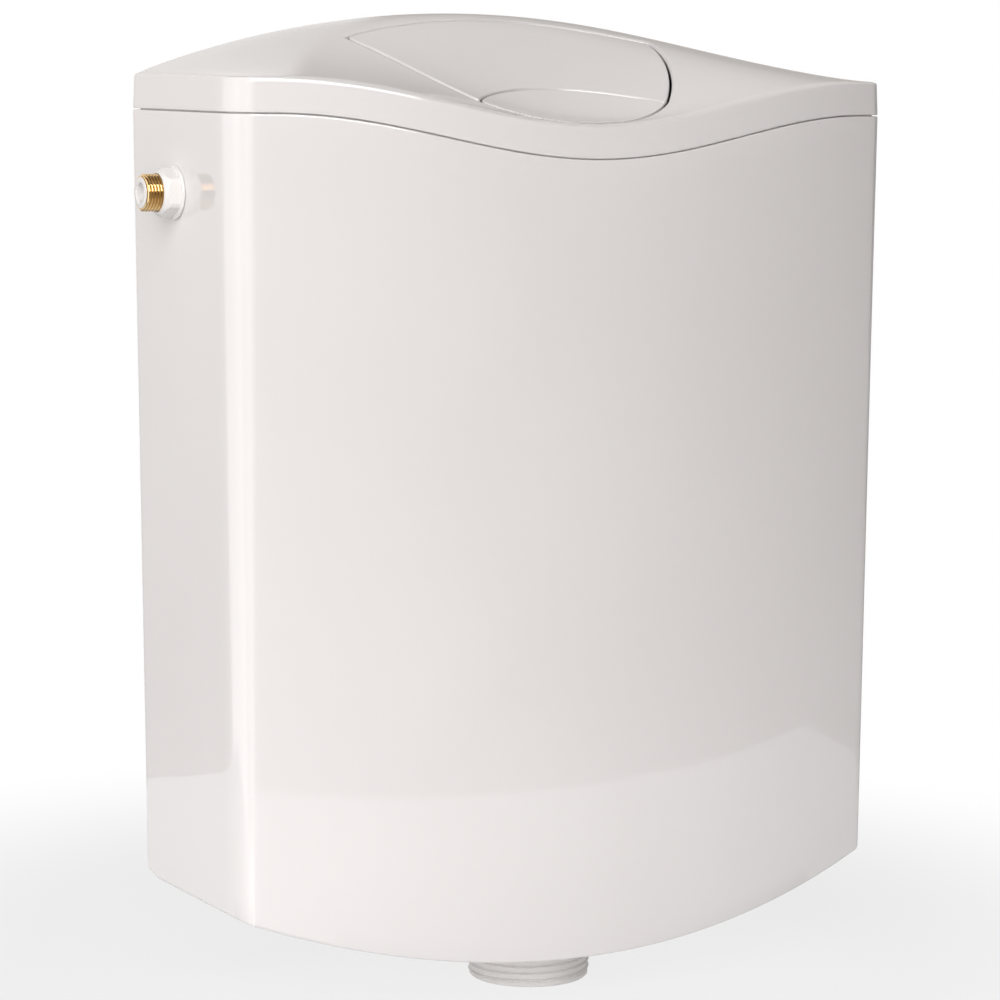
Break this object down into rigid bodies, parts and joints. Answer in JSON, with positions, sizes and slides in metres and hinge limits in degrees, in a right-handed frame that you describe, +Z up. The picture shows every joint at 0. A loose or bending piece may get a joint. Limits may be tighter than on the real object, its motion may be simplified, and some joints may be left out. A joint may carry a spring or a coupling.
{
  "type": "toilet cistern",
  "caption": "Wall-hung white plastic toilet cistern with bowed front, arched foot, lift-off lid with full and partial flush buttons, side water inlet and threaded flush outlet.",
  "frame": {"origin": "midway between the two wall-fixing holes, on the rear face that lies against the wall", "axes": "+X to the right as seen by someone facing the cistern, +Y into the wall, +Z up"},
  "size_m": [0.4472, 0.168, 0.5689],
  "materials": {
    "white_abs": "glossy white moulded ABS",
    "button_abs": "glossy white moulded ABS",
    "white_pp": "satin white polypropylene",
    "grey_pp": "satin light grey polypropylene",
    "blue_pp": "satin blue polypropylene",
    "foam": "white expanded bead foam",
    "rubber": "black rubber",
    "brass": "turned brass",
    "steel": "stainless steel"
  },
  "bodies": {
    "tank": {"tank_shell": "white_abs", "insulation_liner": "foam", "outlet_gasket": "rubber", "valve_seat": "white_pp", "outlet_locknut": "white_pp", "valve_basket": "blue_pp", "bearing_bracket": "grey_pp", "bracket_screws": "steel", "rocker_pin": "steel", "inlet_nipple": "brass", "inlet_sleeve": "white_pp", "inlet_nut": "white_pp", "inlet_seal": "rubber", "fill_valve_body": "grey_pp", "fill_valve_cap": "blue_pp", "fill_diaphragm": "rubber", "fill_tube": "grey_pp", "lever_pin": "steel", "side_plug": "white_pp", "side_plug_nut": "white_pp", "side_plug_seal": "rubber"},
    "lid": {"lid": "white_abs", "button_hinge_rod": "steel"},
    "full_button": {"full_flush_button": "button_abs"},
    "partial_button": {"partial_flush_button": "button_abs"},
    "full_rocker": {"full_rocker": "blue_pp"},
    "partial_rocker": {"partial_rocker": "blue_pp"},
    "full_lift": {"overflow_tube": "blue_pp", "seal_washer": "rubber", "full_lift_rod": "grey_pp"},
    "partial_lift": {"partial_float": "grey_pp", "partial_lift_rod": "grey_pp"},
    "float": {"fill_float": "grey_pp", "float_rod": "steel", "rod_nuts": "grey_pp"},
    "float_lever": {"float_lever": "blue_pp"}
  },
  "joints": [
    {"name": "lid_lift", "type": "slide", "parent": "tank", "child": "lid", "axis": [0, 0, 1], "range_m": [0, 0.12]},
    {"name": "full_press", "type": "hinge", "parent": "lid", "child": "full_button", "pos_m": [0, -0.04, 0.098], "axis": [1, 0, 0], "range_deg": [0, 4.5], "stiffness_Nm_per_rad": 8, "springref_deg": -1.72},
    {"name": "partial_press", "type": "hinge", "parent": "lid", "child": "partial_button", "pos_m": [0, -0.04, 0.098], "axis": [1, 0, 0], "range_deg": [0, 2.75], "stiffness_Nm_per_rad": 12, "springref_deg": -1.15},
    {"name": "full_rock", "type": "hinge", "parent": "tank", "child": "full_rocker", "pos_m": [-0.026, -0.089, 0.046], "axis": [0, -1, 0], "range_deg": [0, 21.6]},
    {"name": "partial_rock", "type": "hinge", "parent": "tank", "child": "partial_rocker", "pos_m": [-0.026, -0.122, 0.046], "axis": [0, -1, 0], "range_deg": [0, 21.6]},
    {"name": "full_raise", "type": "slide", "parent": "tank", "child": "full_lift", "axis": [0, 0, 1], "range_m": [0, 0.0138]},
    {"name": "partial_raise", "type": "slide", "parent": "tank", "child": "partial_lift", "axis": [0, 0, 1], "range_m": [0, 0.0138]},
    {"name": "float_rise", "type": "slide", "parent": "tank", "child": "float", "axis": [0, 0, 1], "range_m": [0, 0.012]},
    {"name": "lever_turn", "type": "hinge", "parent": "tank", "child": "float_lever", "pos_m": [-0.139, -0.059, 0.0594], "axis": [0, -1, 0], "range_deg": [0, 15.1]}
  ],
  "couplings": [
    {"joint": "full_rock", "follows": "full_press", "ratio": 4.7778},
    {"joint": "full_raise", "follows": "full_press", "m_per_rad": 0.1738},
    {"joint": "partial_rock", "follows": "partial_press", "ratio": 7.8182},
    {"joint": "partial_raise", "follows": "partial_press", "m_per_rad": 0.2844},
    {"joint": "lever_turn", "follows": "float_rise", "rad_per_m": 21.744}
  ]
}
